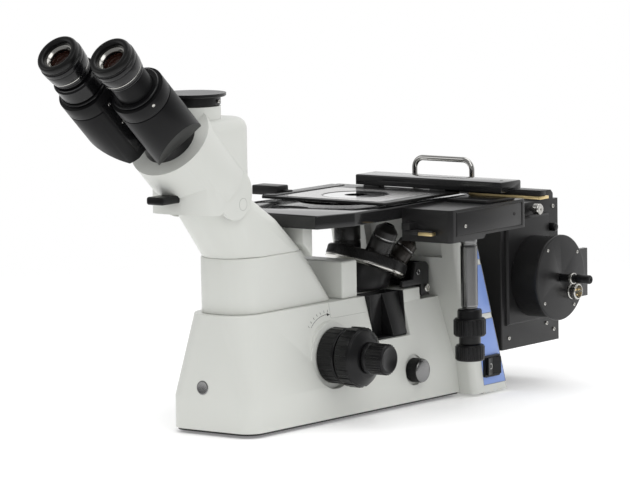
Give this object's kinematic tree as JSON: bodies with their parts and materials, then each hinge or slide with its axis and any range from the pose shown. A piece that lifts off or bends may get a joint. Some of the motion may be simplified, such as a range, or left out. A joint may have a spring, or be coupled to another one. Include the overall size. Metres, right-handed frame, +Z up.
{
  "type": "inverted microscope",
  "caption": "Inverted laboratory microscope with inclined binocular head, fixed stage with mechanical slides, nosepiece below the stage and an illuminator unit behind.",
  "frame": {"origin": "on the table under the objective in use, whose optical axis is the Z axis", "axes": "+Z up, the observer sits at -Y, X = 0 is the plane between the eyepieces"},
  "size_m": [0.304, 0.7364, 0.4146],
  "materials": {
    "light_paint": "satin",
    "black_paint": "satin",
    "eyepiece_black": "semi gloss",
    "black_plastic": "matte",
    "rubber_black": "matte",
    "blue_panel": "satin",
    "brass": "satin",
    "steel": "brushed",
    "polished": "polished",
    "chrome": "polished",
    "glass": "clear",
    "mirror": "polished",
    "objective_metal": "satin"
  },
  "bodies": {
    "stand": {"base_housing": "light_paint", "base_plate": "black_paint", "rubber_feet": "rubber_black", "filter_pocket": "black_plastic", "upper_body": "light_paint", "neck_housing": "light_paint", "head_housing": "light_paint", "camera_port_ring": "black_paint", "port_cap": "black_paint", "head_prism": "glass", "hinge_plate": "black_paint", "hinge_pin": "steel", "rear_column": "light_paint", "side_panels": "blue_panel", "switch_frame": "black_plastic", "stage_plate": "black_paint", "stage_pillar": "black_paint", "nosepiece_guard": "light_paint", "drive_box": "black_paint", "spindle_sleeve": "steel", "lamp_flange": "black_paint", "lamp_unit": "black_paint", "lamp_drum": "black_paint", "lamp_connector": "steel", "lamp_bulb": "glass", "condenser_lens": "glass", "carry_handle": "chrome", "fold_mirror": "mirror", "beam_splitter": "glass"},
    "left_wing_body": {"left_wing": "black_paint", "left_eyepiece": "eyepiece_black", "left_eye_lens": "glass"},
    "right_wing_body": {"right_wing": "black_paint", "right_eyepiece": "eyepiece_black", "right_eye_lens": "glass"},
    "diopter": {"diopter_ring": "eyepiece_black"},
    "selector": {"selector_lever": "black_plastic"},
    "carriage": {"turret_base": "black_paint", "focus_carriage": "black_paint"},
    "turret": {"turret_disc": "steel", "objective_1": "objective_metal", "objective_2": "objective_metal", "objective_3": "objective_metal", "objective_4": "objective_metal", "objective_5": "objective_metal"},
    "coarse": {"coarse_focus": "black_plastic"},
    "fine": {"fine_focus": "black_plastic"},
    "tension": {"tension_collars": "black_plastic"},
    "dimmer": {"intensity_knob": "steel"},
    "rocker": {"power_rocker": "black_plastic"},
    "y_slide": {"brass_strip": "brass", "x_rail": "steel"},
    "x_slide": {"x_bar": "black_paint", "specimen_holder": "steel", "stage_insert": "polished", "clip_block": "black_paint"},
    "upper_knob": {"upper_stage_knob": "black_plastic"},
    "lower_knob": {"lower_stage_knob": "black_plastic"},
    "lock": {"lock_lever": "steel"},
    "lamp_centring": {"lamp_rod": "black_plastic"}
  },
  "joints": [
    {"name": "right_wing_swing", "type": "hinge", "parent": "stand", "child": "right_wing_body", "pos_m": [0, -0.3276, 0.33581], "axis": [0, 0.7431, -0.6691], "range_deg": [-24, 14]},
    {"name": "left_wing_swing", "type": "hinge", "parent": "stand", "child": "left_wing_body", "pos_m": [0, -0.3224, 0.33112], "axis": [0, 0.7431, -0.6691], "range_deg": [-14, 24]},
    {"name": "diopter_turn", "type": "hinge", "parent": "left_wing_body", "child": "diopter", "pos_m": [-0.03299, -0.39379, 0.3714], "axis": [0, 0.7431, -0.6691], "range_deg": [-60, 60]},
    {"name": "selector_slide", "type": "slide", "parent": "stand", "child": "selector", "axis": [1, 0, 0], "range_m": [-0.008, 0.008]},
    {"name": "nosepiece_focus", "type": "slide", "parent": "stand", "child": "carriage", "axis": [0, 0, 1], "range_m": [-0.002, 0.007]},
    {"name": "turret_turn", "type": "hinge", "parent": "carriage", "child": "turret", "pos_m": [0.00751, 0.02311, 0.1505], "axis": [0.1107, 0.3408, 0.9336], "continuous": true},
    {"name": "coarse_turn", "type": "hinge", "parent": "stand", "child": "coarse", "pos_m": [0, -0.0975, 0.0695], "axis": [1, 0, 0], "range_deg": [-20, 68]},
    {"name": "fine_turn", "type": "hinge", "parent": "stand", "child": "fine", "pos_m": [0, -0.0975, 0.0695], "axis": [1, 0, 0], "continuous": true},
    {"name": "tension_turn", "type": "hinge", "parent": "stand", "child": "tension", "pos_m": [0, -0.0975, 0.0695], "axis": [1, 0, 0], "range_deg": [-40, 40]},
    {"name": "intensity_turn", "type": "hinge", "parent": "stand", "child": "dimmer", "pos_m": [0.06, 0.034, 0.038], "axis": [1, 0, 0], "range_deg": [-135, 135]},
    {"name": "rocker_tilt", "type": "hinge", "parent": "stand", "child": "rocker", "pos_m": [0.0845, 0.141, 0.031], "axis": [0, 0, 1], "range_deg": [-5, 5]},
    {"name": "stage_y", "type": "slide", "parent": "stand", "child": "y_slide", "axis": [0, 1, 0], "range_m": [-0.012, 0.012]},
    {"name": "stage_x", "type": "slide", "parent": "y_slide", "child": "x_slide", "axis": [1, 0, 0], "range_m": [-0.012, 0.012]},
    {"name": "upper_knob_turn", "type": "hinge", "parent": "stand", "child": "upper_knob", "pos_m": [0.114, 0.059, 0.085], "axis": [0, 0, 1], "range_deg": [-70, 70]},
    {"name": "lower_knob_turn", "type": "hinge", "parent": "stand", "child": "lower_knob", "pos_m": [0.114, 0.059, 0.057], "axis": [0, 0, 1], "range_deg": [-70, 70]},
    {"name": "stage_lock_turn", "type": "hinge", "parent": "stand", "child": "lock", "pos_m": [0.092, -0.018, 0.19], "axis": [0, 0, 1], "range_deg": [-60, 0]},
    {"name": "lamp_centring_turn", "type": "hinge", "parent": "stand", "child": "lamp_centring", "pos_m": [0.122, 0.219, 0.119], "axis": [1, 0, 0], "range_deg": [-180, 180]}
  ],
  "couplings": [
    {"joint": "left_wing_swing", "follows": "right_wing_swing", "ratio": -1},
    {"joint": "coarse_turn", "follows": "nosepiece_focus", "rad_per_m": 166.7},
    {"joint": "upper_knob_turn", "follows": "stage_y", "rad_per_m": 100},
    {"joint": "lower_knob_turn", "follows": "stage_x", "rad_per_m": 100}
  ]
}
